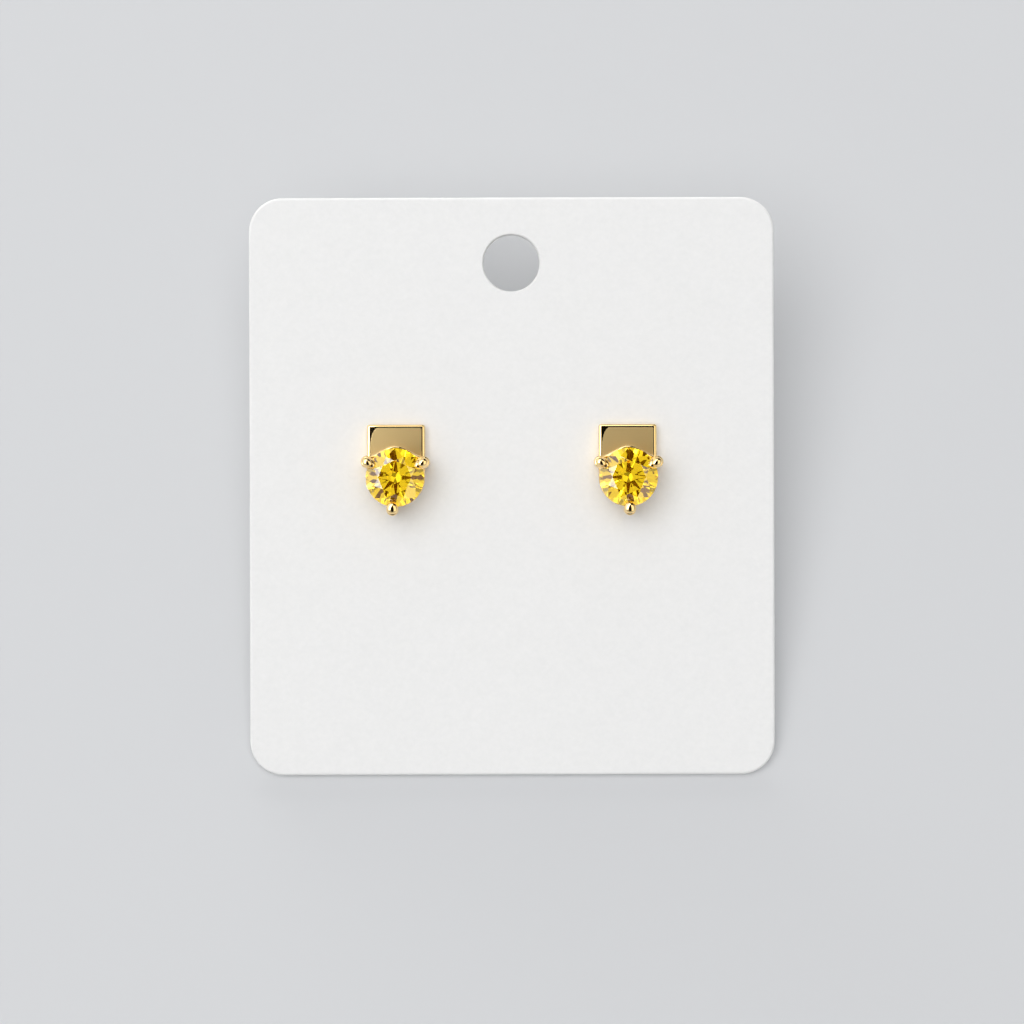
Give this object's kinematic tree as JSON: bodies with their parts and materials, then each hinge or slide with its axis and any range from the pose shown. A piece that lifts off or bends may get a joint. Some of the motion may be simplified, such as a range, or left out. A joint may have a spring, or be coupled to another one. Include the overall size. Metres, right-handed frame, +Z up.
{
  "type": "pair of stud earrings on a display card",
  "caption": "Square-plate stud earrings with round yellow stones in ball-tipped prongs, pushed through a white hang-hole display card.",
  "frame": {"origin": "on the surface the part lies on, under the middle of its outline", "axes": "+X across the card to the right as its face is read, +Y from the card's foot towards its hang hole, +Z up"},
  "size_m": [0.05, 0.053, 0.0166],
  "materials": {
    "card_paper": "matt white uncoated board with a faint paper grain",
    "polished_gold": "mirror-polished pale yellow gold plating",
    "yellow_stone": "clear golden yellow, faceted and polished"
  },
  "bodies": {
    "root": {"display_card": "card_paper", "left_stud": "polished_gold", "left_stone": "yellow_stone", "left_ear_nut": "polished_gold", "right_stud": "polished_gold", "right_stone": "yellow_stone", "right_ear_nut": "polished_gold"}
  },
  "joints": []
}
